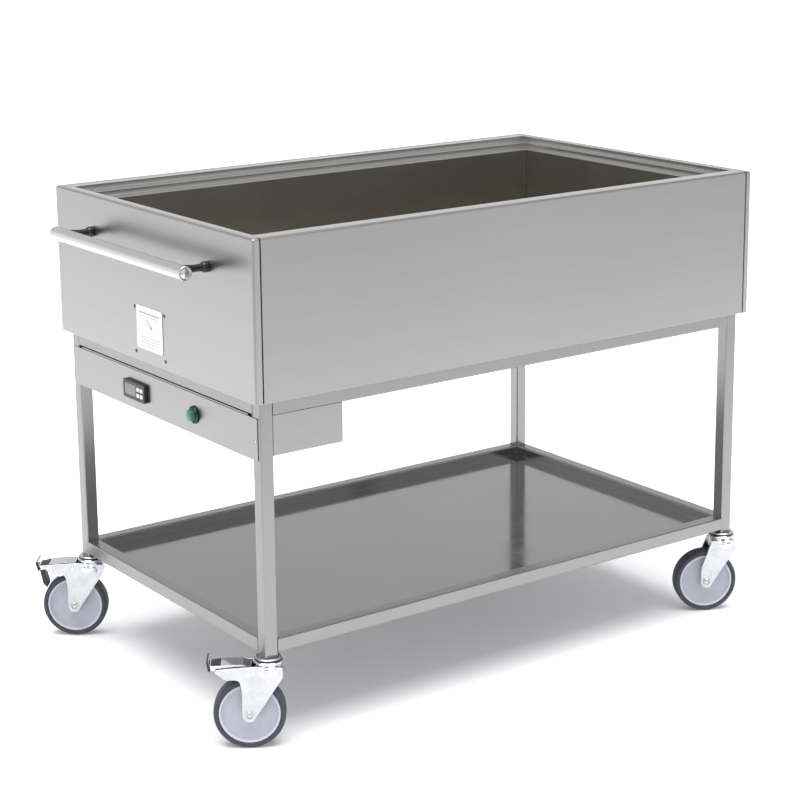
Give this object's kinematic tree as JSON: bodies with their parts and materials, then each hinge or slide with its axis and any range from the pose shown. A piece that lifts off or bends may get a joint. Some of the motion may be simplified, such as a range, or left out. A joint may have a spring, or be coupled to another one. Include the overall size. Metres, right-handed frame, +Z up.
{
  "type": "steam table unit",
  "caption": "Mobile heated bain-marie trolley: open stainless tank with a stepped rim on a tube frame with shelf, control box, push handle and swivel castors.",
  "frame": {"origin": "on the floor, under the middle of the footprint with the castors as they stand at rest", "axes": "+X along the unit away from the push handle and controls, +Y to the rear long side, +Z up; the front long side faces -Y"},
  "size_m": [1.201, 0.7537, 0.886],
  "materials": {
    "brushed": "fine brushed stainless sheet and tube",
    "tank_steel": "satin stainless, dark inside the well",
    "polished": "smooth, nearly mirror-bright stainless",
    "handle_steel": "satin stainless bar",
    "zinc": "bright zinc plate",
    "tyre": "matt blue-grey non-marking rubber",
    "hub": "grey nylon",
    "black": "glossy black",
    "bezel": "dark grey",
    "key": "off-white",
    "lens": "translucent green",
    "plate": "white enamelled",
    "heater": "heat-tinted sheath",
    "wool": "mineral wool board",
    "brass": "nickel-plated brass",
    "lever": "red coated steel"
  },
  "bodies": {
    "trolley": {"castor_front_left_stem": "zinc", "castor_rear_left_stem": "zinc", "castor_front_right_stem": "zinc", "castor_rear_right_stem": "zinc", "leg_front_left": "brushed", "leg_rear_left": "brushed", "leg_front_right": "brushed", "leg_rear_right": "brushed", "upper_rail_front": "brushed", "upper_rail_rear": "brushed", "upper_rail_left": "brushed", "upper_rail_right": "brushed", "lower_rail_front": "brushed", "lower_rail_rear": "brushed", "lower_rail_left": "brushed", "lower_rail_right": "brushed", "shelf_tray": "polished", "tank": "tank_steel", "casing_front_panel": "brushed", "casing_rear_panel": "brushed", "casing_left_panel": "brushed", "casing_right_panel": "brushed", "bottom_pan": "brushed", "insulation_board": "wool", "heating_element": "heater", "temperature_probe": "brass", "drain_valve": "brass", "control_box": "brushed", "control_fascia": "brushed", "controller": "bezel", "switch_collar": "black", "cable_gland": "black", "handle_bar": "handle_steel", "handle_bracket_front": "black", "handle_bracket_rear": "black", "info_plate": "plate"},
    "castor_front_left": {"castor_front_left_fork": "zinc", "castor_front_left_axle": "zinc"},
    "wheel_front_left": {"castor_front_left_hub": "hub", "castor_front_left_tyre": "tyre"},
    "brake_front_left": {"castor_front_left_pedal": "zinc"},
    "castor_rear_left": {"castor_rear_left_fork": "zinc", "castor_rear_left_axle": "zinc"},
    "wheel_rear_left": {"castor_rear_left_hub": "hub", "castor_rear_left_tyre": "tyre"},
    "brake_rear_left": {"castor_rear_left_pedal": "zinc"},
    "castor_front_right": {"castor_front_right_fork": "zinc", "castor_front_right_axle": "zinc"},
    "wheel_front_right": {"castor_front_right_hub": "hub", "castor_front_right_tyre": "tyre"},
    "castor_rear_right": {"castor_rear_right_fork": "zinc", "castor_rear_right_axle": "zinc"},
    "wheel_rear_right": {"castor_rear_right_hub": "hub", "castor_rear_right_tyre": "tyre"},
    "key_set": {"key_set": "key"},
    "key_down": {"key_down": "key"},
    "key_up": {"key_up": "key"},
    "key_mode": {"key_mode": "key"},
    "switch_button": {"switch_lens": "lens"},
    "drain_lever": {"drain_lever": "lever"}
  },
  "joints": [
    {"name": "swivel_front_left", "type": "hinge", "parent": "trolley", "child": "castor_front_left", "pos_m": [-0.5025, -0.3435, 0.1435], "axis": [0, 0, 1], "continuous": true},
    {"name": "spin_front_left", "type": "hinge", "parent": "castor_front_left", "child": "wheel_front_left", "pos_m": [-0.52986, -0.32505, 0.0622], "axis": [-0.5592, -0.829, 0], "continuous": true},
    {"name": "brake_front_left_press", "type": "hinge", "parent": "castor_front_left", "child": "brake_front_left", "pos_m": [-0.52986, -0.32505, 0.139], "axis": [-0.5592, -0.829, 0], "range_deg": [0, 7]},
    {"name": "swivel_rear_left", "type": "hinge", "parent": "trolley", "child": "castor_rear_left", "pos_m": [-0.5025, 0.2975, 0.1435], "axis": [0, 0, 1], "continuous": true},
    {"name": "spin_rear_left", "type": "hinge", "parent": "castor_rear_left", "child": "wheel_rear_left", "pos_m": [-0.52868, 0.31759, 0.0622], "axis": [-0.6088, -0.7934, 0], "continuous": true},
    {"name": "brake_rear_left_press", "type": "hinge", "parent": "castor_rear_left", "child": "brake_rear_left", "pos_m": [-0.52868, 0.31759, 0.139], "axis": [-0.6088, -0.7934, 0], "range_deg": [-7, 0]},
    {"name": "swivel_front_right", "type": "hinge", "parent": "trolley", "child": "castor_front_right", "pos_m": [0.5665, -0.3435, 0.1435], "axis": [0, 0, 1], "continuous": true},
    {"name": "spin_front_right", "type": "hinge", "parent": "castor_front_right", "child": "wheel_front_right", "pos_m": [0.53764, -0.3275, 0.0622], "axis": [-0.4848, -0.8746, 0], "continuous": true},
    {"name": "swivel_rear_right", "type": "hinge", "parent": "trolley", "child": "castor_rear_right", "pos_m": [0.5665, 0.2975, 0.1435], "axis": [0, 0, 1], "continuous": true},
    {"name": "spin_rear_right", "type": "hinge", "parent": "castor_rear_right", "child": "wheel_rear_right", "pos_m": [0.53851, 0.31499, 0.0622], "axis": [-0.5299, -0.848, 0], "continuous": true},
    {"name": "key_set_press", "type": "slide", "parent": "trolley", "child": "key_set", "axis": [1, 0, 0], "range_m": [0, 0.0007], "stiffness_N_per_m": 400, "springref_m": -0.0003},
    {"name": "key_down_press", "type": "slide", "parent": "trolley", "child": "key_down", "axis": [1, 0, 0], "range_m": [0, 0.0007], "stiffness_N_per_m": 400, "springref_m": -0.0003},
    {"name": "key_up_press", "type": "slide", "parent": "trolley", "child": "key_up", "axis": [1, 0, 0], "range_m": [0, 0.0007], "stiffness_N_per_m": 400, "springref_m": -0.0003},
    {"name": "key_mode_press", "type": "slide", "parent": "trolley", "child": "key_mode", "axis": [1, 0, 0], "range_m": [0, 0.0007], "stiffness_N_per_m": 400, "springref_m": -0.0003},
    {"name": "switch_button_press", "type": "slide", "parent": "trolley", "child": "switch_button", "axis": [1, 0, 0], "range_m": [0, 0.003], "stiffness_N_per_m": 500, "springref_m": -0.001},
    {"name": "drain_lever_turn", "type": "hinge", "parent": "trolley", "child": "drain_lever", "pos_m": [0.392, 0.1533, 0.558], "axis": [0, 1, 0], "range_deg": [0, 90]}
  ]
}
